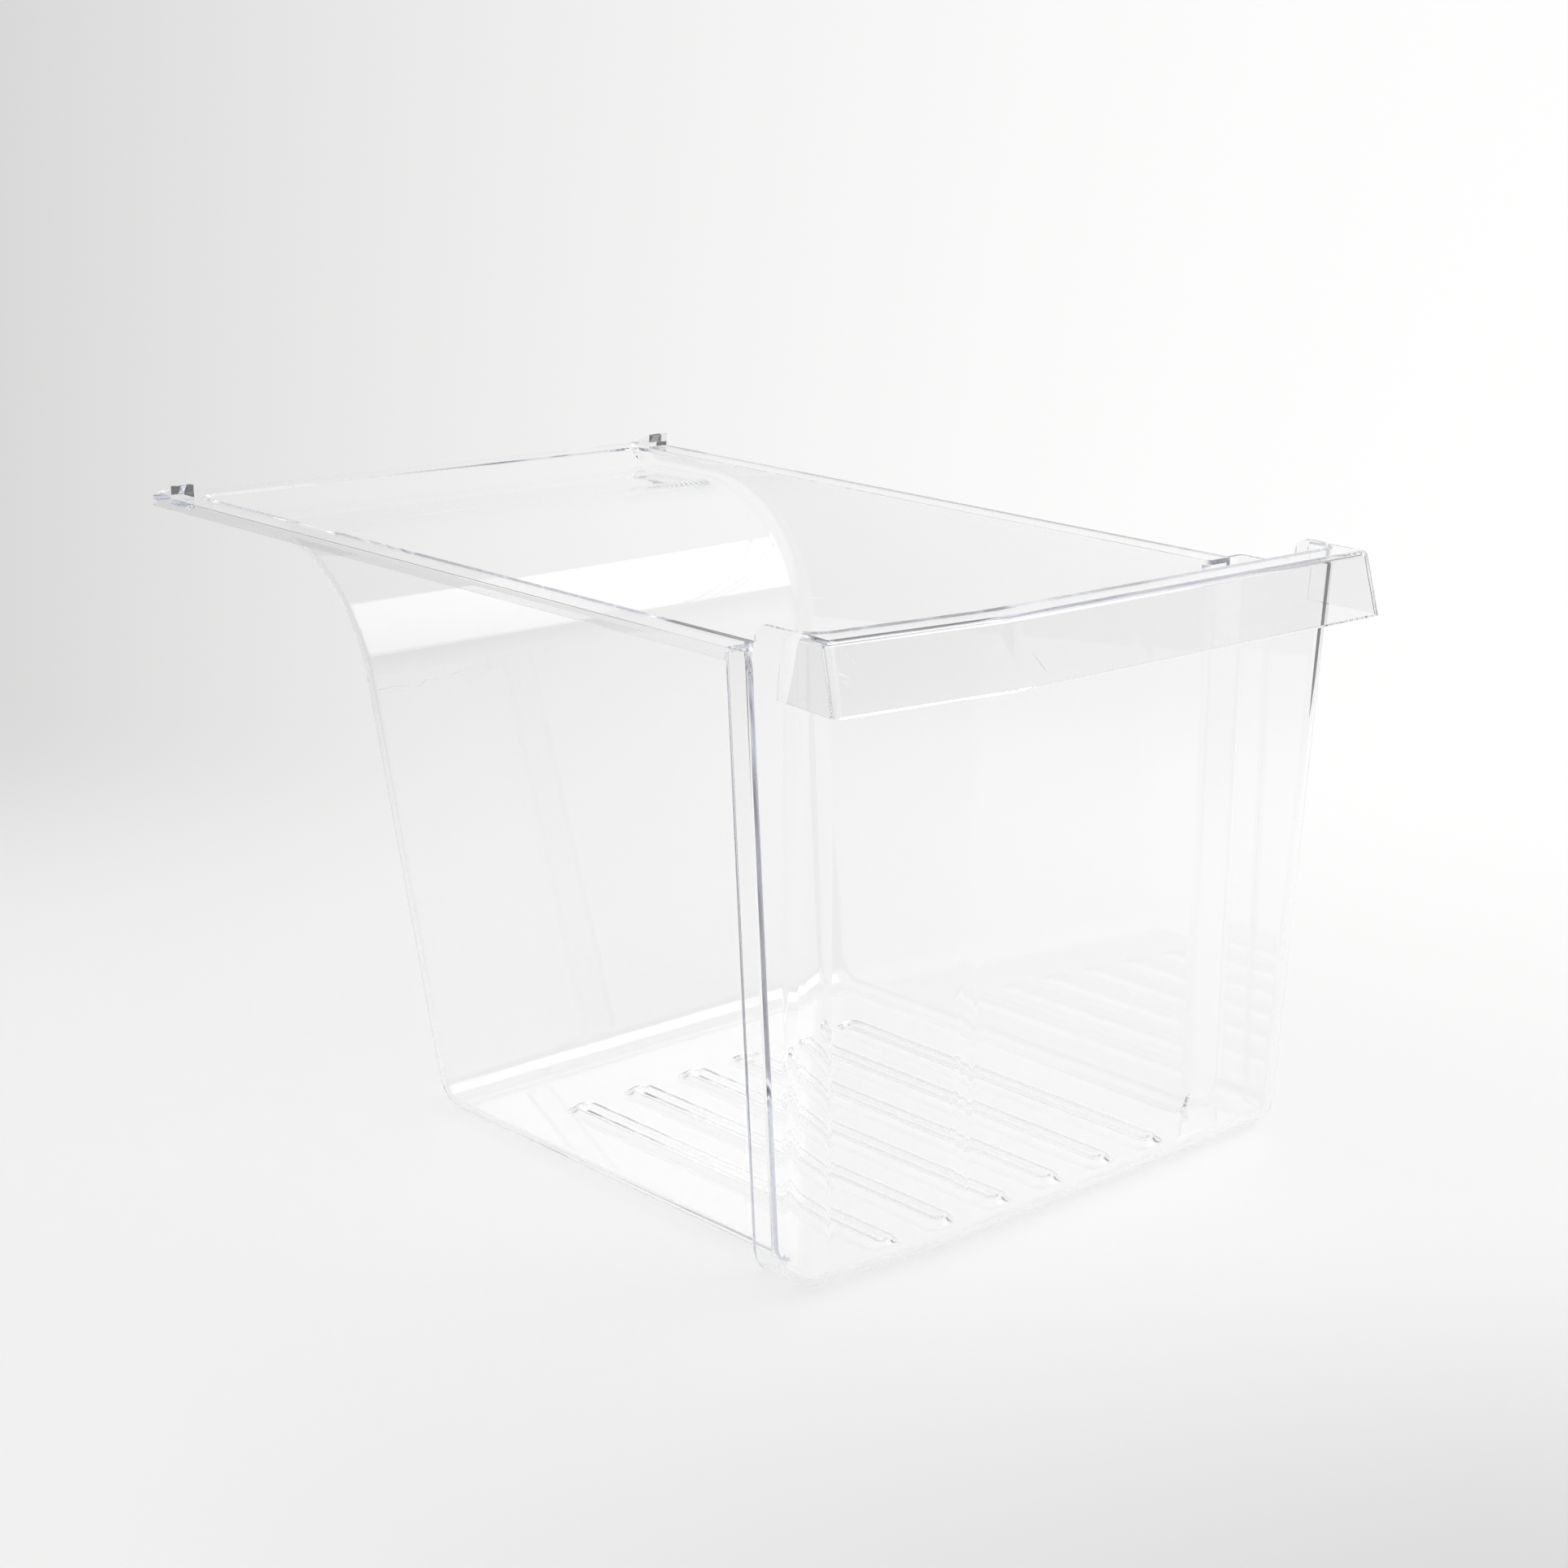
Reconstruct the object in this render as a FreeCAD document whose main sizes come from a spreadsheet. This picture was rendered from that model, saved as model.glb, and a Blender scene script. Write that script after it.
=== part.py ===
import FreeCAD, Part
import os
import Sketcher

# A clear fridge crisper drawer, moulded in one piece, in millimetres and degrees.
# The front faces -Y, the drawer stands on its floor and Z points up.
doc = FreeCAD.newDocument("crisper_drawer")

SIZES = {
    "wall": 2.5,
    "body_width": 283,
    "rail_width": 14.2,
    "rail_height": 257.5,
    "rail_lip": 5,
    "handle_rise": 12.5,
    "bay_depth": 56,
    "right_overhang": 9.9,
    "rail_length": 384.5,
    "rim_width": 12.5,
    "floor_depth": 264.6,
    "side_draft": 2.3,
    "step_draft": 3.6,
    "back_slope": 13.7,
    "back_curve": 73.9,
    "shelf_drop": 10.8,
    "ramp_angle": 33,
    "floor_radius": 16,
    "edge_radius": 9,
    "corner_radius": 14.5,
    "post_radius": 3.3,
    "bay_floor_radius": 14,
    "bend_offset": 68,
    "bend_angle": 6.5,
    "bend_radius": 110,
    "rise_left": 38,
    "rise_right": 25,
    "rise_radius": 5,
    "hood_reach_top": 12,
    "hood_reach_low": 22,
    "hood_drop": 27,
    "hood_edge_radius": 3.5,
    "hood_corner_radius": 4,
    "end_splay": 7,
    "end_flare": 3.3,
    "right_end_lean": 4,
    "hook_width": 12.5,
    "hook_rise": 6.5,
    "hook_length": 15,
    "rib_pitch": 34,
    "rib_width": 16,
    "rib_length": 199,
    "rib_setback": 20,
    "rib_height": 3,
    "rib_slope": 45,
    "rib_foot_radius": 4.2,
}

sheet = doc.addObject("Spreadsheet::Sheet", "Sizes")
for row, (name, number) in enumerate(SIZES.items(), start=1):
    sheet.set(f"A{row}", str(number))
    sheet.setAlias(f"A{row}", name)
doc.recompute()

# Places that several forms share, written in the sheet's names
DEPTH = "(Sizes.hood_reach_low + Sizes.bay_depth + Sizes.rail_length + Sizes.rim_width)"
FRONT = f"(Sizes.hood_reach_low - {DEPTH} / 2)"
STEP = f"({FRONT} + Sizes.bay_depth)"
NOSE = f"({FRONT} + Sizes.bay_depth / 2)"
REAR = f"({STEP} + Sizes.rail_length)"
FOOT = f"({FRONT} + Sizes.floor_depth)"
TUB_HALF = "(Sizes.body_width / 2)"
RAIL_HALF = "(Sizes.body_width / 2 + Sizes.rail_width)"
BAY_RIGHT = f"({RAIL_HALF} + Sizes.right_overhang)"
SHELF = "(Sizes.rail_height - Sizes.shelf_drop)"
TOP = "(Sizes.rail_height + Sizes.handle_rise)"
DRAFT = "(Sizes.side_draft * 1 deg)"
LEAN = "(Sizes.step_draft * 1 deg)"
SLOPE = "(Sizes.back_slope * 1 deg)"
RAMP = "(Sizes.ramp_angle * 1 deg)"
BEND = "(Sizes.bend_angle * 1 deg)"
RIB_SLOPE = "(Sizes.rib_slope * 1 deg)"
RIB_ROUNDS = f"(0.95 * Sizes.rib_height / (sin({RIB_SLOPE}) * tan({RIB_SLOPE} / 2)))"


def value(expression):
    return float(sheet.evalExpression(expression))


def outline(body, name, plane, loops, shift=None, turn=None):
    """A sketch of closed outlines whose corners follow the sheet."""
    sketch = body.newObject("Sketcher::SketchObject", name)
    role = f"{plane}_Plane"
    support = next(item for item in body.Origin.OriginFeatures if item.Role == role)
    sketch.AttachmentSupport = (support, "")
    sketch.MapMode = "FlatFace"
    if turn:
        upright = FreeCAD.Rotation(FreeCAD.Vector(0, 1, 0), value(turn))
        sketch.AttachmentOffset = FreeCAD.Placement(FreeCAD.Vector(), upright)
        sketch.setExpression("AttachmentOffset.Rotation.Angle", turn)
    for axis, distance in (shift or {}).items():
        sketch.setExpression(f"AttachmentOffset.Base.{axis}", distance)
    for loop in loops:
        corners = [FreeCAD.Vector(value(across), value(along), 0) for across, along in loop]
        first = sketch.GeometryCount
        for number, corner in enumerate(corners):
            sketch.addGeometry(Part.LineSegment(corner, corners[(number + 1) % len(corners)]), False)
        for number, (across, along) in enumerate(loop):
            line = first + number
            following = first + (number + 1) % len(corners)
            sketch.addConstraint(Sketcher.Constraint("Coincident", line, 2, following, 1))
            for kind, expression, place in (("DistanceX", across, corners[number].x),
                                            ("DistanceY", along, corners[number].y)):
                held = sketch.addConstraint(Sketcher.Constraint(kind, -1, 1, line, 1, place))
                sketch.setExpression(f"Constraints[{held}]", expression)
    return sketch


def feature(body, kind, name, sketch, length, side="One side", backward=False):
    """A pad or pocket of a sketch, with its length taken from the sheet."""
    made = body.newObject(f"PartDesign::{kind}", name)
    made.Profile = sketch
    made.SideType = side
    made.Reversed = backward
    made.setExpression("Length", length)
    doc.recompute()
    return made


def rounded(body, name, base, edges, radius):
    """Round the named edges of the body's newest feature."""
    made = body.newObject("PartDesign::Fillet", name)
    made.Base = (base, edges)
    made.setExpression("Radius", radius)
    doc.recompute()
    return made


def edges_at(shape, x=None, y=None, z=None):
    """Names of the edges that lie wholly at the given places."""
    found = []
    for number, edge in enumerate(shape.Edges, start=1):
        ends = [edge.Vertexes[0].Point, edge.Vertexes[-1].Point]
        wanted = [(0, x), (1, y), (2, z)]
        if all(place is None or abs(end[axis] - place) < 0.02 for end in ends for axis, place in wanted):
            found.append(f"Edge{number}")
    return found


def side_trim(body, name, left_half, right_half, inset):
    """Slope both side faces inwards towards the floor."""
    def reach(half, height):
        return f"({half} - (Sizes.rail_height - {height}) * tan({DRAFT}) - {inset} / cos({DRAFT}))"

    high = f"({TOP} + 40)"
    low = "(0 - 10)"
    far = f"({right_half} + 40)"
    right = [(reach(right_half, low), low), (far, low), (far, high), (reach(right_half, high), high)]
    left = [(f"-{reach(left_half, high)}", high), (f"-{far}", high), (f"-{far}", low),
            (f"-{reach(left_half, low)}", low)]
    sketch = outline(body, f"{name}_sides", "XZ", [right, left])
    return feature(body, "Pocket", f"{name}_side_draft", sketch, f"2 * {DEPTH}", "Symmetric")


def tub(name, inset, level_top):
    """The deep bin: flat floor, sloping back, curved overhang, shelf and rear ramp."""
    body = doc.addObject("PartDesign::Body", name)
    back_inset = f"({inset} / cos({SLOPE}))"
    foot = f"({FOOT} + {inset} * tan({SLOPE}) - {back_inset})"
    crest = f"({FOOT} + ({SHELF} + {inset}) * tan({SLOPE}) - {back_inset})"
    outside = f"(Sizes.wall - {inset})"
    heel = f"({REAR} - (Sizes.shelf_drop - {inset} - {outside} / cos({RAMP})) / tan({RAMP}))"
    high = "(Sizes.rail_height + 20)"
    brim = f"({REAR} + ({outside} / cos({RAMP}) + 20) / tan({RAMP}))"
    level = f"({SHELF} + {inset})"
    profile = [(NOSE, inset), (foot, inset), (crest, level), (heel, level), (brim, high), (NOSE, high)]
    sketch = outline(body, f"{name}_profile", "YZ", [profile])
    solid = feature(body, "Pad", f"{name}_block", sketch, f"2 * {TUB_HALF} + 20", "Symmetric")
    solid = side_trim(body, name, TUB_HALF, TUB_HALF, inset)

    bends = edges_at(solid.Shape, y=value(foot), z=value(inset))
    bends += edges_at(solid.Shape, y=value(heel), z=value(level))
    solid = rounded(body, f"{name}_lower_bends", solid, bends, f"Sizes.floor_radius - {inset}")
    bends = edges_at(solid.Shape, y=value(crest), z=value(level))
    solid = rounded(body, f"{name}_overhang", solid, bends, f"Sizes.back_curve + {inset}")

    ceiling = value(high) - 0.02
    chain = []
    for number, edge in enumerate(solid.Shape.Edges, start=1):
        middle = edge.CenterOfMass
        faces = solid.Shape.ancestorsOfType(edge, Part.Face)
        sideways = [face for face in faces if abs(face.normalAt(0, 0).x) > 0.98]
        if len(sideways) == 1 and middle.z < ceiling and middle.y > value(NOSE) + 0.02:
            chain.append(f"Edge{number}")
    rounded(body, f"{name}_long_edges", solid, chain, f"Sizes.edge_radius - {inset}")
    if level_top:
        wide = "(2 * Sizes.body_width)"
        over = f"({high} + 20)"
        level = "Sizes.rail_height"
        top = [(f"-{wide}", level), (wide, level), (wide, over), (f"-{wide}", over)]
        sketch = outline(body, f"{name}_top", "XZ", [top])
        feature(body, "Pocket", f"{name}_level_top", sketch, f"2 * {DEPTH}", "Symmetric")
    return body


def front_line(reach, across):
    """How far forward the bent front lies at a place on its left, moved out by a reach."""
    return f"({FRONT} - {reach} / cos({BEND}) + (-{across} - Sizes.bend_offset) * tan({BEND}))"


def bay(name, inset, top, soft_posts):
    """The wider front part: bent front wall and two short sides that step out over the rails."""
    body = doc.addObject("PartDesign::Body", name)
    wide = f"({BAY_RIGHT} + 10)"
    behind = f"({STEP} + 10)"
    kink = f"(-Sizes.bend_offset + {inset} * tan({BEND} / 2))"
    plan = [(f"-{wide}", behind), (f"-{wide}", front_line(f"(-{inset})", f"(-{wide})")),
            (kink, f"({FRONT} + {inset})"), (wide, f"({FRONT} + {inset})"), (wide, behind)]
    sketch = outline(body, f"{name}_plan", "XY", [plan], {"z": inset})
    solid = feature(body, "Pad", f"{name}_block", sketch, f"{top} - {inset}")
    solid = side_trim(body, name, RAIL_HALF, BAY_RIGHT, inset)

    def step(height):
        return f"({STEP} - (Sizes.rail_height - {height}) * tan({LEAN}) - {inset} / cos({LEAN}))"

    low = "(0 - 10)"
    high = f"({TOP} + 40)"
    far = f"({STEP} + 60)"
    cut = [(step(low), low), (far, low), (far, high), (step(high), high)]
    sketch = outline(body, f"{name}_step", "YZ", [cut])
    solid = feature(body, "Pocket", f"{name}_step_lean", sketch, f"4 * {BAY_RIGHT}", "Symmetric")

    shape = solid.Shape
    bend = edges_at(shape, x=value(kink), y=value(f"{FRONT} + {inset}"))
    solid = rounded(body, f"{name}_bend", solid, bend, f"Sizes.bend_radius - {inset}")
    upright = []
    for number, edge in enumerate(solid.Shape.Edges, start=1):
        middle = edge.CenterOfMass
        tall = edge.BoundBox.ZLength > 0.9 * value(f"{top} - {inset}")
        if tall and middle.y < value(NOSE) and abs(middle.x) > value(f"{TUB_HALF}"):
            upright.append(f"Edge{number}")
    solid = rounded(body, f"{name}_corners", solid, upright, f"Sizes.corner_radius - {inset}")
    base = []
    level = value(inset) + 0.02
    last = max(edge.CenterOfMass.y for edge in solid.Shape.Edges if edge.BoundBox.ZMax < level)
    for number, edge in enumerate(solid.Shape.Edges, start=1):
        if edge.BoundBox.ZMax < level and edge.CenterOfMass.y < last - 0.02:
            base.append(f"Edge{number}")
    solid = rounded(body, f"{name}_floor_edge", solid, base, f"Sizes.bay_floor_radius - {inset}")
    if soft_posts:
        posts = []
        for number, edge in enumerate(solid.Shape.Edges, start=1):
            faces = solid.Shape.ancestorsOfType(edge, Part.Face)
            behind = [face for face in faces if face.normalAt(0, 0).y > 0.98]
            if len(behind) == 1 and level < edge.CenterOfMass.z < value(top) - 0.02:
                posts.append(f"Edge{number}")
        rounded(body, f"{name}_posts", solid, posts, "Sizes.post_radius")
    return body


# The outside and the inside of the tub and of the front bay
outer_tub = tub("outer_tub", "0", True)
inner_tub = tub("inner_tub", "Sizes.wall", False)
outer_bay = bay("outer_bay", "0", TOP, True)
inner_bay = bay("inner_bay", "Sizes.wall", f"({TOP} + 20)", False)

# The bay's sides drop from handle height to rail height in a soft step, further back on the left
for side, rise, backward in (("left", "Sizes.rise_left", False), ("right", "Sizes.rise_right", True)):
    start = f"({FRONT} + {rise})"
    over = f"({TOP} + 10)"
    behind = f"({STEP} + 20)"
    notch = [(start, "Sizes.rail_height"), (behind, "Sizes.rail_height"), (behind, over), (start, over)]
    sketch = outline(outer_bay, f"{side}_rise", "YZ", [notch])
    solid = feature(outer_bay, "Pocket", f"{side}_drop", sketch, f"2 * {BAY_RIGHT}", "One side", backward)
    soft = edges_at(solid.Shape, y=value(start), z=value("Sizes.rail_height"))
    soft += edges_at(solid.Shape, y=value(start), z=value(TOP))
    rounded(outer_bay, f"{side}_drop_curve", solid, soft, "Sizes.rise_radius")

# Flat rails along both sides and a rim across the back, with the rails' outer edges turned down
rails = doc.addObject("PartDesign::Body", "rails")
start = f"({STEP} - Sizes.wall)"
back = f"({REAR} + Sizes.rim_width)"
plate = [(f"-{RAIL_HALF}", start), (RAIL_HALF, start), (RAIL_HALF, back), (f"-{RAIL_HALF}", back)]
sketch = outline(rails, "rail_plan", "XY", [plate], {"z": "Sizes.rail_height - Sizes.wall"})
feature(rails, "Pad", "rail_plate", sketch, "Sizes.wall")
lip = [(f"({RAIL_HALF} - Sizes.wall)", "(Sizes.rail_height - Sizes.rail_lip)"),
       (RAIL_HALF, "(Sizes.rail_height - Sizes.rail_lip)"),
       (RAIL_HALF, "(Sizes.rail_height - Sizes.wall / 2)"),
       (f"({RAIL_HALF} - Sizes.wall)", "(Sizes.rail_height - Sizes.wall / 2)")]
other_lip = [(f"-{across}", along) for across, along in reversed(lip)]
sketch = outline(rails, "lip_section", "XZ", [lip, other_lip], {"z": f"-{back}"})
feature(rails, "Pad", "rail_lips", sketch, f"{back} - {start}")

# A wedge stop stands on the rear end of each rail
heel = f"({REAR} - 3)"
toe = f"({heel} + Sizes.hook_length)"
sunk = "(Sizes.rail_height - Sizes.wall / 2)"
stop = [(heel, sunk), (toe, sunk), (toe, "(Sizes.rail_height + 0.5)"),
        (heel, "(Sizes.rail_height + Sizes.hook_rise)")]
sketch = outline(rails, "stop_profile", "YZ", [stop], {"z": f"{RAIL_HALF} - Sizes.hook_width"})
wedge = feature(rails, "Pad", "stop", sketch, "Sizes.hook_width")
pair = rails.newObject("PartDesign::Mirrored", "stops")
pair.Originals = [wedge]
pair.MirrorPlane = (next(item for item in rails.Origin.OriginFeatures if item.Role == "YZ_Plane"), [""])
rails.Tip = pair
doc.recompute()


def hood_form(name, inset, low, high):
    """The hooded handle: flared front apron and two flared ends; one wall smaller it is the space below."""
    body = doc.addObject("PartDesign::Body", name)
    wide = f"({BAY_RIGHT} + 20)"
    ahead = f"({FRONT} - Sizes.hood_reach_low - 40)"
    right_root = f"({FRONT} + Sizes.rise_right - Sizes.rise_radius - 1)"
    left_root = f"({front_line('0', f'(-{RAIL_HALF})')} + Sizes.corner_radius)"
    plan = [(f"-{wide}", ahead), (wide, ahead), (wide, right_root), (f"-{wide}", left_root)]
    sketch = outline(body, f"{name}_plan", "XY", [plan], {"z": low})
    solid = feature(body, "Pad", f"{name}_block", sketch, f"{high} - {low}")

    # The apron leans out towards its hem, in two flat lengths that meet at the bend
    under = f"({TOP} - 3 * Sizes.hood_drop)"
    over = f"({TOP} + Sizes.hood_drop)"
    lean = "((Sizes.hood_reach_low - Sizes.hood_reach_top) / Sizes.hood_drop)"

    def reach(height):
        along = f"({TOP} - {height}) * {lean}"
        return f"(Sizes.hood_reach_top + {along} - {inset} * sqrt(1 + {lean} * {lean}))"

    far = "(-Sizes.hood_reach_low - 100)"
    cut = [(f"-{reach(under)}", under), (f"-{reach(over)}", over), (far, over), (far, under)]
    sketch = outline(body, f"{name}_right_apron", "YZ", [cut], {"x": FRONT})
    feature(body, "Pocket", f"{name}_right_front", sketch, f"8 * {BAY_RIGHT}", "Symmetric")
    sketch = outline(body, f"{name}_left_apron", "YZ", [cut], {"x": FRONT, "z": "-Sizes.bend_offset"},
                     "-Sizes.bend_angle")
    solid = feature(body, "Pocket", f"{name}_left_front", sketch, f"8 * {BAY_RIGHT}", "Symmetric")

    # The right end leans out a little towards its top; the left end spreads forwards and downwards
    far = "(Sizes.hood_reach_low + 60)"

    def lean_out(height):
        rise = f"({height} - {TOP} + Sizes.hood_drop)"
        return f"({rise} * tan(Sizes.right_end_lean * 1 deg) - {inset})"

    right = [(lean_out(under), under), (far, under), (far, over), (lean_out(over), over)]
    sketch = outline(body, f"{name}_right_end", "XZ", [right], {"x": BAY_RIGHT})
    feature(body, "Pocket", f"{name}_right_close", sketch, f"2 * {DEPTH}", "Symmetric")

    def spread(height):
        return f"({inset} - (Sizes.rail_height - {height}) * tan(Sizes.end_flare * 1 deg))"

    left = [(spread(over), over), (f"-{far}", over), (f"-{far}", under), (spread(under), under)]
    sketch = outline(body, f"{name}_left_end", "XZ", [left], {"x": f"-{RAIL_HALF}", "z": f"-{left_root}"},
                     "-Sizes.end_splay")
    solid = feature(body, "Pocket", f"{name}_left_close", sketch, f"2 * {DEPTH}", "Symmetric")

    crease = []
    corners = []
    for number, edge in enumerate(solid.Shape.Edges, start=1):
        middle = edge.CenterOfMass
        upright = edge.BoundBox.ZLength > 0.9 * value(f"{high} - {low}")
        if upright and middle.y < value(FRONT) and abs(middle.x) < value(TUB_HALF):
            crease.append(f"Edge{number}")
    solid = rounded(body, f"{name}_bend", solid, crease, f"Sizes.bend_radius - {inset}")
    for number, edge in enumerate(solid.Shape.Edges, start=1):
        middle = edge.CenterOfMass
        upright = edge.BoundBox.ZLength > 0.9 * value(f"{high} - {low}")
        if upright and middle.y < value(FRONT) and abs(middle.x) > value(TUB_HALF):
            corners.append(f"Edge{number}")
    solid = rounded(body, f"{name}_corners", solid, corners, f"Sizes.hood_corner_radius - {inset}")
    brow = []
    for number, edge in enumerate(solid.Shape.Edges, start=1):
        level = edge.BoundBox.ZMin > value(high) - 0.02
        behind = max(vertex.Y for vertex in edge.Vertexes) > value(left_root) - 0.02
        across = edge.BoundBox.XLength > value(TUB_HALF) and behind
        if level and not across:
            brow.append(f"Edge{number}")
    rounded(body, f"{name}_brow", solid, brow, f"Sizes.hood_edge_radius - {inset}")
    return body


hem = f"({TOP} - Sizes.hood_drop)"
hood = hood_form("hood", "0", hem, TOP)
hood_space = hood_form("hood_space", "Sizes.wall", f"({hem} - 4)", f"({TOP} - Sizes.wall)")
handle = doc.addObject("Part::Cut", "handle")
handle.Base = hood
handle.Tool = hood_space


def slot(body, name, across, near, far, half, level):
    """A sketch of one long slot with round ends, lying level."""
    sketch = body.newObject("Sketcher::SketchObject", name)
    ground = next(item for item in body.Origin.OriginFeatures if item.Role == "XY_Plane")
    sketch.AttachmentSupport = (ground, "")
    sketch.MapMode = "FlatFace"
    sketch.setExpression("AttachmentOffset.Base.z", level)
    x, start, stop, radius = value(across), value(near), value(far), value(half)
    for y, first, last in ((start, 3.14159265, 6.28318531), (stop, 0, 3.14159265)):
        ring = Part.Circle(FreeCAD.Vector(x, y, 0), FreeCAD.Vector(0, 0, 1), radius)
        sketch.addGeometry(Part.ArcOfCircle(ring, first, last), False)
    for place, first, last in ((x + radius, start, stop), (x - radius, stop, start)):
        side = Part.LineSegment(FreeCAD.Vector(place, first, 0), FreeCAD.Vector(place, last, 0))
        sketch.addGeometry(side, False)
    for one, other in ((0, 2), (2, 1), (1, 3), (3, 0)):
        sketch.addConstraint(Sketcher.Constraint("Tangent", one, 2, other, 1))
    sketch.addConstraint(Sketcher.Constraint("Equal", 0, 1))
    held = [("DistanceX", 0, x, across), ("DistanceY", 0, start, near),
            ("DistanceX", 1, x, across), ("DistanceY", 1, stop, far)]
    for kind, arc, place, expression in held:
        number = sketch.addConstraint(Sketcher.Constraint(kind, -1, 1, arc, 3, place))
        sketch.setExpression(f"Constraints[{number}]", expression)
    number = sketch.addConstraint(Sketcher.Constraint("Radius", 0, radius))
    sketch.setExpression(f"Constraints[{number}]", half)
    return sketch


def ribs(name, inset, low, level):
    """Six long ribs with soft flanks on the floor, side by side, each on a thin piece of the floor."""
    body = doc.addObject("PartDesign::Body", name)
    body.AllowCompound = True
    first = "(-2.5 * Sizes.rib_pitch)"
    half = f"(Sizes.rib_width / 2 - {inset} * tan({RIB_SLOPE} / 2))"
    near = f"({FRONT} + Sizes.rib_setback + Sizes.rib_width / 2)"
    far = f"({near} + Sizes.rib_length - Sizes.rib_width)"
    edge_room = f"(Sizes.rib_width / 2 + (Sizes.rib_foot_radius + Sizes.wall) * tan({RIB_SLOPE} / 2) + 1)"
    plan = [(f"({first} - {edge_room})", f"({near} - {edge_room})"),
            (f"({first} + {edge_room})", f"({near} - {edge_room})"),
            (f"({first} + {edge_room})", f"({far} + {edge_room})"),
            (f"({first} - {edge_room})", f"({far} + {edge_room})")]
    sketch = outline(body, f"{name}_base_plan", "XY", [plan], {"z": low})
    feature(body, "Pad", f"{name}_base", sketch, f"{level} - {low}")
    sketch = slot(body, f"{name}_plan", first, near, far, half, level)
    bar = feature(body, "Pad", f"{name}_bar", sketch, "Sizes.rib_height")
    bar.setExpression("TaperAngle", f"-{RIB_SLOPE}")
    doc.recompute()

    feet = []
    top = value(f"{level} + Sizes.rib_height")
    for number, edge in enumerate(bar.Shape.Edges, start=1):
        flat = max(abs(place.z - value(level)) for place in edge.discretize(3)) < 0.02
        inside = abs(edge.CenterOfMass.x - value(first)) < value(half) + 0.02
        within = value(f"{near} - {half}") - 0.02 < edge.CenterOfMass.y < value(f"{far} + {half}") + 0.02
        if flat and inside and within:
            feet.append(f"Edge{number}")
    bar = rounded(body, f"{name}_feet", bar, feet, f"Sizes.rib_foot_radius + {inset}")
    brow = edges_at(bar.Shape, z=top)
    bar = rounded(body, f"{name}_brow", bar, brow, f"{RIB_ROUNDS} - Sizes.rib_foot_radius - {inset}")
    row = body.newObject("PartDesign::LinearPattern", f"{name}_row")
    row.Originals = []
    row.TransformMode = "Whole shape"
    row.Direction = (next(item for item in body.Origin.OriginFeatures if item.Role == "X_Axis"), [""])
    row.Mode = "Spacing"
    row.Occurrences = 6
    row.setExpression("Offset", "Sizes.rib_pitch")
    body.Tip = row
    doc.recompute()
    return body


ridges = ribs("ridges", "0", "(Sizes.wall / 2)", "Sizes.wall")
grooves = ribs("grooves", "Sizes.wall", "(0 - 2)", "(0 * Sizes.wall)")

# Everything joins into one moulding
outside = doc.addObject("Part::MultiFuse", "outside")
outside.Shapes = [outer_tub, outer_bay, rails, handle]
inside = doc.addObject("Part::MultiFuse", "inside")
inside.Shapes = [inner_tub, inner_bay]
doc.recompute()

# The upright edges inside, where the tub's walls meet the step of the bay, are rounded
jambs = []
for number, edge in enumerate(inside.Shape.Edges, start=1):
    faces = inside.Shape.ancestorsOfType(edge, Part.Face)
    flat = all(face.Surface.TypeId == "Part::GeomPlane" for face in faces)
    sideways = [face for face in faces if abs(face.normalAt(0, 0).x) > 0.98]
    behind = [face for face in faces if face.normalAt(0, 0).y > 0.98]
    if flat and sideways and behind and abs(edge.CenterOfMass.x) < value(TUB_HALF):
        jambs.append((number, value("Sizes.post_radius"), value("Sizes.post_radius")))
soft_inside = doc.addObject("Part::Fillet", "soft_inside")
soft_inside.Base = inside
soft_inside.Edges = jambs
shell = doc.addObject("Part::Cut", "shell")
shell.Base = outside
shell.Tool = soft_inside
ribbed = doc.addObject("Part::MultiFuse", "ribbed")
ribbed.Shapes = [shell, ridges]
drawer = doc.addObject("Part::Cut", "drawer")
drawer.Base = ribbed
drawer.Tool = grooves
drawer.Refine = True
drawer.Label = "crisper_drawer"
doc.recompute()

for item in doc.Objects:
    if "Invalid" in item.State or "Error" in item.State:
        raise RuntimeError(f"{item.Label} did not build: {item.State}")
if drawer.Shape.isNull() or not drawer.Shape.isValid() or len(drawer.Shape.Solids) != 1:
    raise RuntimeError("crisper_drawer is not one valid solid")

os.makedirs("parts", exist_ok=True)
drawer.Shape.exportStep("parts/crisper_drawer.step")
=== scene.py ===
import math

import bmesh
import bpy
from mathutils import Matrix, Vector


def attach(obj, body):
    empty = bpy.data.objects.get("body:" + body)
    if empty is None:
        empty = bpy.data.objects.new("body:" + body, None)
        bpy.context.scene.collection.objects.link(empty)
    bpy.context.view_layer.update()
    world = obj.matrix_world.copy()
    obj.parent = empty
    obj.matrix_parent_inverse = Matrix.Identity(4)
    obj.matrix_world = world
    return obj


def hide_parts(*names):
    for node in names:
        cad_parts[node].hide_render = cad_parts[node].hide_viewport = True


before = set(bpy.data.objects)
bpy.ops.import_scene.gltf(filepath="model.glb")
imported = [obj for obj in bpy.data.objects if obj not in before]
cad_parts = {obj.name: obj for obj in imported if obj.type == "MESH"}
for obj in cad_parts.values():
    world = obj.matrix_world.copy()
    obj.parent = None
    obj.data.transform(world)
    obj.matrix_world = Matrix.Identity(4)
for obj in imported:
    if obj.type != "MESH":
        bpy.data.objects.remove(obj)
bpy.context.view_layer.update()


# The drawer is one injection moulding in clear polystyrene: a deep bin with a floor of
# long ribs, a curved overhanging back, two sliding rails and a hooded handle at the front.
# Its walls are 2.5 mm thick throughout, so what lies behind shows through two skins.
weld_gap = 0.000002
skin = bmesh.new()
skin.from_mesh(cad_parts["crisper_drawer"].data)
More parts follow.
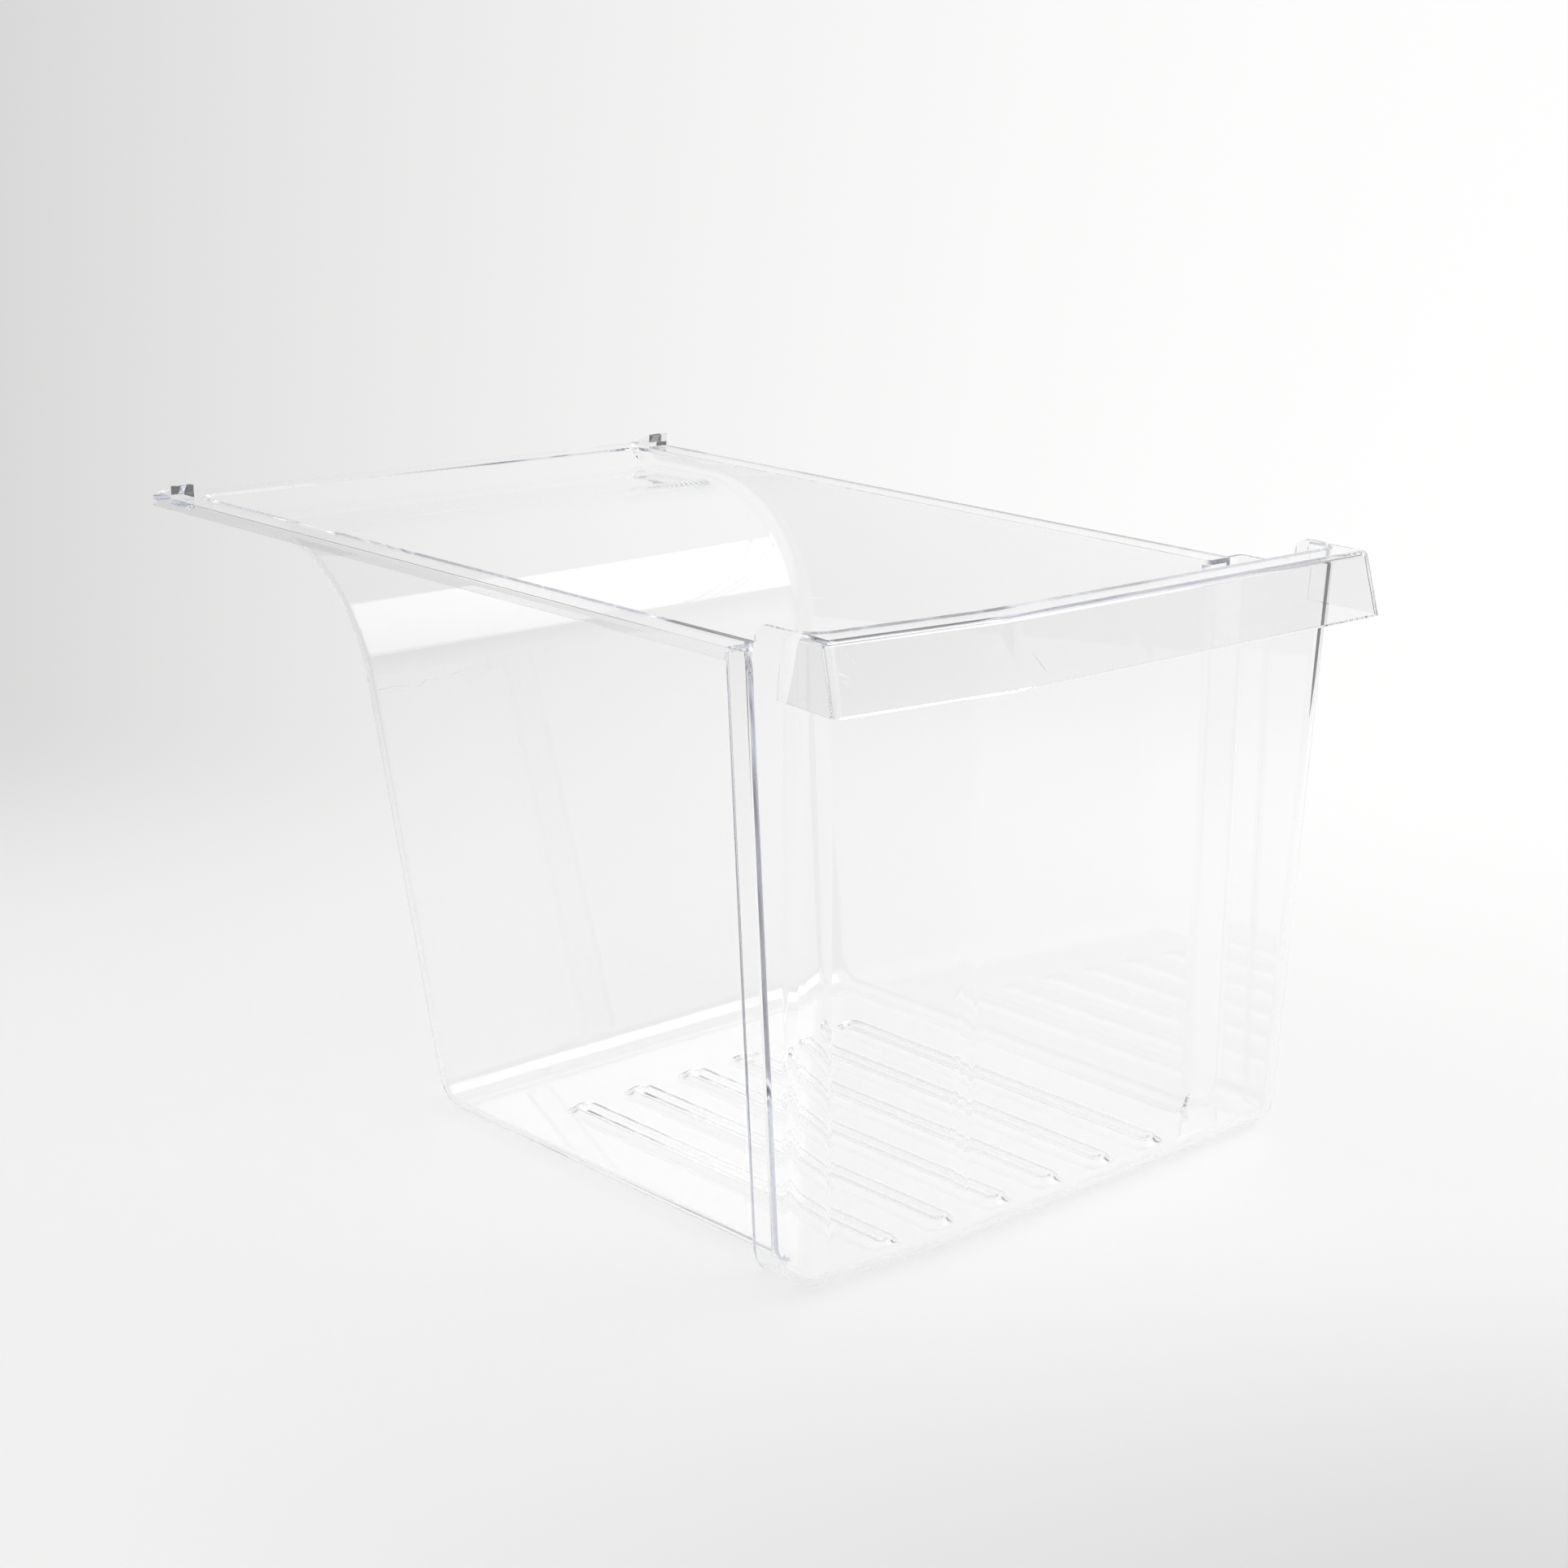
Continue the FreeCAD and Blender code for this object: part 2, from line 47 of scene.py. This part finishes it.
bmesh.ops.remove_doubles(skin, verts=skin.verts, dist=weld_gap)
bmesh.ops.dissolve_degenerate(skin, edges=skin.edges, dist=weld_gap)
skin.normal_update()

# Outside, the upright corners where the tub's walls meet the step of the front part are soft bends
bend_radius = 0.0025
bend_facets = 5
shortest_bend = 0.004
square_on = 0.98
tub_half_width = 0.143
step_from_middle = -0.18
bends = []
for edge in skin.edges:
    if len(edge.link_faces) != 2 or edge.is_convex:
        continue
    one_end, other_end = (end.co for end in edge.verts)
    one_side, other_side = (facet.normal for facet in edge.link_faces)
    upright = abs(one_end.z - other_end.z) > shortest_bend
    beside_wall = max(abs(one_side.x), abs(other_side.x)) > square_on
    beside_step = max(one_side.y, other_side.y) > square_on
    halfway = (one_end + other_end) / 2
    at_tub = abs(halfway.x) < tub_half_width and halfway.y > step_from_middle
    if upright and beside_wall and beside_step and at_tub:
        bends.append(edge)
bmesh.ops.bevel(skin, geom=bends, offset=bend_radius, offset_type="OFFSET", segments=bend_facets,
                profile=0.5, affect="EDGES", clamp_overlap=False)
skin.faces.ensure_lookup_table()
skin.normal_update()
skin.faces.index_update()

# Facets that lie in one plane belong to one face of the mould
same_plane = 0.004
face_of = {}
face_area = []
for facet in skin.faces:
    facet.smooth = True
    facet.material_index = 0
    if facet.index in face_of:
        continue
    reached = [facet]
    face_of[facet.index] = len(face_area)
    for member in reached:
        for edge in member.edges:
            for other in edge.link_faces:
                if other.index not in face_of and other.normal.angle(member.normal, math.pi) < same_plane:
                    face_of[other.index] = len(face_area)
                    reached.append(other)
    face_area.append(sum(member.calc_area() for member in reached))


def mould_area(corner):
    """The area of the mould's face that a facet's corner belongs to."""
    return face_area[face_of[corner.face.index]]


# The mould's flat faces stay flat up to their edges, and the rounds between them turn evenly.
# Two large faces that meet at more than a slight angle keep a crease between them.
slight_angle = 0.2
sharp_angle = 0.8
large_face = 0.0012
least_flat_face = 0.00015
outweighs = 2.5
polish = []
for facet in skin.faces:
    for corner in facet.loops:
        near = []
        for other in corner.vert.link_loops:
            angle = other.face.normal.angle(facet.normal, math.pi)
            creased = angle > slight_angle and min(mould_area(corner), mould_area(other)) > large_face
            if angle < sharp_angle and not creased:
                near.append(other)
        near.sort(key=mould_area, reverse=True)
        main_face = face_of[near[0].face.index]
        rest = [mould_area(other) for other in near if face_of[other.face.index] != main_face]
        if rest and mould_area(near[0]) > max(least_flat_face, outweighs * max(rest)):
            polish.append(near[0].face.normal.copy())
        else:
            even = sum((other.face.normal * other.calc_angle() for other in near), Vector())
            polish.append(even.normalized())
drawer_mesh = bpy.data.meshes.new("drawer_moulding")
skin.to_mesh(drawer_mesh)
skin.free()
drawer_mesh.normals_split_custom_set(polish)
drawer = bpy.data.objects.new("drawer_moulding", drawer_mesh)
bpy.context.scene.collection.objects.link(drawer)


class Wire:
    """One socket of a material. Sums on wires add the Math nodes for them."""

    def __init__(self, tree, socket=None):
        self.tree = tree
        self.socket = socket

    def add(self, kind, settings, sockets, output=0):
        """A node of the given kind: its settings first, then the values or wires of its sockets."""
        node = self.tree.nodes.new(kind)
        for name, setting in settings.items():
            setattr(node, name, setting)
        for name, source in sockets.items():
            if isinstance(source, Wire):
                self.tree.links.new(source.socket, node.inputs[name])
            else:
                node.inputs[name].default_value = source
        return Wire(self.tree, node.outputs[output] if node.outputs else None)

    def beside(self, output):
        """Another output of the same node."""
        return Wire(self.tree, self.socket.node.outputs[output])

    def sum(self, operation, first, second):
        """A Math node on two values or wires."""
        return self.add("ShaderNodeMath", {"operation": operation}, {0: first, 1: second})

    def towards(self, direction):
        """How far a place or a heading reaches in one direction."""
        return self.add("ShaderNodeVectorMath", {"operation": "DOT_PRODUCT"},
                        {0: self, 1: direction}, "Value")

    def fade(self, start, stop, low, high, way="SMOOTHSTEP"):
        """Goes from low to high while this wire goes from start to stop."""
        return self.add("ShaderNodeMapRange", {"interpolation_type": way},
                        {"Value": self, "From Min": start, "From Max": stop, "To Min": low, "To Max": high})

    def __abs__(self):
        return self.sum("ABSOLUTE", self, 0.0)

    def __add__(self, other):
        return self.sum("ADD", self, other)

    def __radd__(self, other):
        return self.sum("ADD", other, self)

    def __sub__(self, other):
        return self.sum("SUBTRACT", self, other)

    def __rsub__(self, other):
        return self.sum("SUBTRACT", other, self)

    def __mul__(self, other):
        return self.sum("MULTIPLY", self, other)

    def __rmul__(self, other):
        return self.sum("MULTIPLY", other, self)

    def __truediv__(self, other):
        return self.sum("DIVIDE", self, other)

    def __rtruediv__(self, other):
        return self.sum("DIVIDE", other, self)


clear_plastic = bpy.data.materials.new("clear_polystyrene")
clear_plastic.use_nodes = True
clear_plastic.node_tree.nodes.clear()
plastic = Wire(clear_plastic.node_tree)
place = plastic.add("ShaderNodeTexCoord", {}, {}, "Object")

# The mould's faint flow: slow waves in the surface that bend what shows through it a little
flow_height = 0.00002
flow = plastic.add("ShaderNodeTexNoise", {}, {"Vector": place, "Scale": 14.0, "Detail": 1.0})

# Wear: short scratches on the skin of the handle's apron, given by their ends from left to right and
# in height, and one that wanders over the skin of the left wall, given from back to front and in height
scratch_depth = 0.0001
scratch_roughness = 0.5
apron_outwards = (-0.11, -0.93, 0.35)
apron_reach = 0.3118
wall_outwards = (-0.9992, 0.0, -0.0401)
wall_reach = 0.13
across = plastic.add("ShaderNodeSeparateXYZ", {}, {0: place}, "X")
rearward = across.beside("Y")
height = across.beside("Z")
apron_skin = plastic.sum("GREATER_THAN", place.towards(apron_outwards), apron_reach)
wall_skin = plastic.sum("GREATER_THAN", place.towards(wall_outwards), wall_reach)
scratches = 0.0
for skin_there, run, start, start_z, end, end_z, half_width in (
    (apron_skin, across, -0.1526, 0.2676, -0.1461, 0.2609, 0.00020),
    (apron_skin, across, -0.1562, 0.2592, -0.1502, 0.2569, 0.00017),
    (apron_skin, across, -0.1548, 0.2565, -0.1510, 0.2541, 0.00017),
    (apron_skin, across, -0.0617, 0.2566, -0.0542, 0.2467, 0.00017),
    (wall_skin, rearward, 0.0860, 0.1892, 0.0690, 0.1950, 0.00030),
    (wall_skin, rearward, 0.0735, 0.1940, 0.0490, 0.1988, 0.00026),
    (wall_skin, rearward, 0.0520, 0.1975, 0.0462, 0.2028, 0.00024),
    (wall_skin, rearward, 0.0490, 0.2016, 0.0300, 0.2062, 0.00026),
    (wall_skin, rearward, 0.0335, 0.2048, 0.0165, 0.2140, 0.00022),
):
    length = math.hypot(end - start, end_z - start_z)
    run_level = (end - start) / length
    run_up = (end_z - start_z) / length
    along = (run - start) * run_level + (height - start_z) * run_up
    aside = (height - start_z) * run_level - (run - start) * run_up
    tapered = plastic.sum("MAXIMUM", along * (length - along) * (4 / length ** 2), 0.0)
    groove = plastic.sum("MAXIMUM", 1.0 - abs(aside) / half_width, 0.0)
    scratches = scratches + groove * tapered * skin_there

# The haze that years of wiping leave, in patches a few centimetres wide
polished_roughness = 0.01
wiped_roughness = 0.022
wiped = plastic.add("ShaderNodeTexNoise", {},
                    {"Vector": place, "Scale": 32.0, "Detail": 4.0, "Roughness": 0.65})
haze = wiped.fade(start=0.45, stop=0.75, low=polished_roughness, high=wiped_roughness)

# Clear plastic bends light a little more than glass does, and is faintly blue through its thickness
relief = flow * flow_height - scratches * scratch_depth
waves = plastic.add("ShaderNodeBump", {}, {"Strength": 1.0, "Distance": 1.0, "Height": relief}, "Normal")
surface = plastic.add("ShaderNodeBsdfPrincipled", {}, {
    "Base Color": (1.0, 1.0, 1.0, 1.0),
    "Roughness": haze + scratches * scratch_roughness,
    "IOR": 1.55,
    "Transmission Weight": 1.0,
    "Normal": waves,
})
blue_tint = plastic.add("ShaderNodeVolumeAbsorption", {}, {"Color": (0.72, 0.76, 0.9, 1.0), "Density": 1.0})
plastic.add("ShaderNodeOutputMaterial", {}, {"Surface": surface, "Volume": blue_tint})
drawer_mesh.materials.append(clear_plastic)
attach(drawer, "root")
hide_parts("crisper_drawer")


# The drawer stands on a sheet of matt white paper, which is a stage and no piece of the drawer.
# The sheet lies flat in front, is cut narrower on its right behind the drawer, and there it
# curves up into a wall.
view_turn = math.radians(-44.418)
ahead = Vector((-math.sin(view_turn), math.cos(view_turn), 0))
rightward = Vector((math.cos(view_turn), math.sin(view_turn), 0))
eye = Vector((-0.8730, -0.9279, 0.4961))
foot_of_eye = Vector((eye.x, eye.y, 0))
left_edge = -1.2
right_edge = 1.9
narrow_right_edge = 0.86
front_end = -2.0
cut_start = 1.45
cut_end = 1.6
curve_start = 1.75
curve_radius = 0.9
curve_strips = 24
wall_top = 2.6
below_drawer = 0.0004
profile = [
    (front_end, 0.0, right_edge),
    (cut_start, 0.0, right_edge),
    (cut_end, 0.0, narrow_right_edge),
    (curve_start, 0.0, narrow_right_edge),
]
for step in range(1, curve_strips + 1):
    curved = math.radians(90) * step / curve_strips
    reach = curve_start + curve_radius * math.sin(curved)
    profile.append((reach, curve_radius * (1 - math.cos(curved)), narrow_right_edge))
profile.append((curve_start + curve_radius, wall_top, narrow_right_edge))
sheet = bmesh.new()
rows = []
for reach, rise, right_side in profile:
    on_line = foot_of_eye + ahead * reach + Vector((0, 0, rise - below_drawer))
    rows.append([sheet.verts.new(on_line + rightward * side) for side in (left_edge, right_side)])
for nearer, farther in zip(rows, rows[1:]):
    strip = sheet.faces.new((nearer[0], nearer[1], farther[1], farther[0]))
    strip.smooth = True
paper_mesh = bpy.data.meshes.new("paper_sweep")
sheet.to_mesh(paper_mesh)
sheet.free()
paper = bpy.data.objects.new("paper_sweep", paper_mesh)
bpy.context.scene.collection.objects.link(paper)

# Painted light and shade on the paper: its glow falls off to the left of the wall, to the right of the
# floor in front, and far out on both sides
fan_half = 0.28
wall_full_glow = 1.02
wall_left_painted_shade = 0.32
floor_right_painted_shade = 0.42
far_out_painted_shade = 0.56
paper_with_painted_glow = bpy.data.materials.new("paper_with_painted_glow")
paper_with_painted_glow.use_nodes = True
paper_with_painted_glow.node_tree.nodes.clear()
sheen = Wire(paper_with_painted_glow.node_tree)
spot = sheen.add("ShaderNodeTexCoord", {}, {}, "Object")
on_sheet = sheen.add("ShaderNodeMapping", {"vector_type": "TEXTURE"},
                     {"Vector": spot, "Location": foot_of_eye, "Rotation": (0, 0, view_turn)})
sideways = sheen.add("ShaderNodeSeparateXYZ", {}, {0: on_sheet}, "X")
away = sideways.beside("Y")
fan = sideways / away
rising = away.fade(start=1.2, stop=1.9, low=0.0, high=1.0)
leftness = fan.fade(start=-fan_half, stop=fan_half, low=1.0, high=0.0, way="LINEAR")
# Painted shade: the wall's glow grows darker towards the left
wall_painted_glow = wall_full_glow - wall_left_painted_shade * leftness * leftness
close = away.fade(start=1.15, stop=0.75, low=0.0, high=1.0)
right_painted_shade = fan.fade(start=-fan_half, stop=fan_half, low=0.0, high=floor_right_painted_shade, way="LINEAR")
far_out = abs(sideways).fade(start=0.6, stop=1.1, low=0.0, high=far_out_painted_shade)
# Painted shade: the floor's glow grows darker towards the front right and far out on both sides
floor_painted_glow = 1.0 - close * right_painted_shade - far_out
paper_painted_glow = floor_painted_glow + rising * (wall_painted_glow - floor_painted_glow)

# Seen directly, mirrored or through the plastic, half of the floor's brightness and most of the wall's is
# painted light that the paper gives off itself, and the rest is the paper lit by the room, which takes the
# drawer's shadow
floor_share = 0.5
wall_share_more = 0.4
painted_glow_colour = sheen.add("ShaderNodeVectorMath", {"operation": "SCALE"},
                      {0: (1.0, 1.0, 0.997), "Scale": paper_painted_glow})
# Painted light: the paper glows by itself with the levels above, though it is no lamp
glow = sheen.add("ShaderNodeEmission", {}, {"Color": painted_glow_colour, "Strength": 1.0})
lit = sheen.add("ShaderNodeBsdfDiffuse", {}, {"Color": (0.94, 0.94, 0.937, 1.0)})
straight = sheen.add("ShaderNodeLightPath", {}, {}, "Is Camera Ray")
straight_or_mirrored = sheen.sum("MAXIMUM", straight, straight.beside("Is Glossy Ray"))
seen = sheen.sum("MAXIMUM", straight_or_mirrored, straight.beside("Is Transmission Ray"))
painted_glow_share = seen * (floor_share + rising * wall_share_more)
both = sheen.add("ShaderNodeMixShader", {}, {0: painted_glow_share, 1: lit, 2: glow})
sheen.add("ShaderNodeOutputMaterial", {}, {"Surface": both})
paper_mesh.materials.append(paper_with_painted_glow)


# The room round the stage has dim walls, a white ceiling and soft daylight from the right.
# Seen directly or through the plastic, it is a pale backdrop beyond the paper.
walls_light = 0.14
ceiling_light = 0.95
daylight_light = 0.85
backdrop_light = 0.9
daylight_from = (0.66, -0.747, -0.08)
room = bpy.data.worlds.new("room")
bpy.context.scene.world = room
room.use_nodes = True
room.node_tree.nodes.clear()
air = Wire(room.node_tree)
heading = air.add("ShaderNodeTexCoord", {}, {}, "Generated")
upward = air.add("ShaderNodeSeparateXYZ", {}, {0: heading}, "Z")
ceiling = upward.fade(start=0.25, stop=0.7, low=walls_light, high=ceiling_light)
daylight = heading.towards(daylight_from).fade(start=0.85, stop=0.995, low=0.0, high=daylight_light)
direct = air.add("ShaderNodeLightPath", {}, {}, "Is Camera Ray")
direct_or_through = air.sum("MAXIMUM", direct, direct.beside("Is Transmission Ray"))
turned_back = direct.beside("Glossy Depth") + direct.beside("Diffuse Depth")
less_than_once = 0.5
never_turned = air.sum("LESS_THAN", turned_back, less_than_once)
backdrop = backdrop_light * direct_or_through * never_turned
brightness = air.sum("MAXIMUM", air.sum("MAXIMUM", ceiling, daylight), backdrop)
sky = air.add("ShaderNodeBackground", {}, {"Color": brightness, "Strength": 1.0})
air.add("ShaderNodeOutputWorld", {}, {"Surface": sky})


# One soft box hangs in front of the drawer on its right, above it, and leans towards the back.
# It is a plain white rectangle of cloth, and its reflection is the bright band on the curved back.
box_width = 1.1
box_depth = 0.92
box_light = 1.65
box_middle = (1.0, -0.64, 1.15)
box_lean = math.radians(38)
soft_box_light = bpy.data.lights.new("front_soft_box", "AREA")
soft_box_light.shape = "RECTANGLE"
soft_box_light.size = box_width
soft_box_light.size_y = box_depth
soft_box_light.energy = box_light * math.pi * box_width * box_depth
soft_box = bpy.data.objects.new("front_soft_box", soft_box_light)
soft_box.location = box_middle
soft_box.rotation_euler = (box_lean, 0, 0)
bpy.context.scene.collection.objects.link(soft_box)


# The camera stands at the left front, above the drawer's rim, and leans by under two degrees.
# Light may turn many times, because it passes many skins of the drawer before it is out again.
tilt = math.radians(15.517)
roll = math.radians(1.886)
back = ahead * -math.cos(tilt) + Vector((0, 0, math.sin(tilt)))
up = back.cross(rightward)
right_leaning = rightward * math.cos(roll) + up * math.sin(roll)
up_leaning = up * math.cos(roll) - rightward * math.sin(roll)
camera_data = bpy.data.cameras.new("camera")
camera_data.sensor_width = 36.0
camera_data.lens = 65.35
camera = bpy.data.objects.new("camera", camera_data)
turned_to = Matrix((right_leaning, up_leaning, back)).transposed().to_4x4()
camera.matrix_world = Matrix.Translation(eye) @ turned_to
bpy.context.scene.collection.objects.link(camera)
bpy.context.scene.camera = camera
light_turns = 160
bpy.context.scene.view_settings.view_transform = "Standard"
bpy.context.scene.cycles.blur_glossy = 0.0
bpy.context.scene.cycles.max_bounces = light_turns
bpy.context.scene.cycles.transmission_bounces = light_turns
bpy.context.scene.cycles.glossy_bounces = light_turns
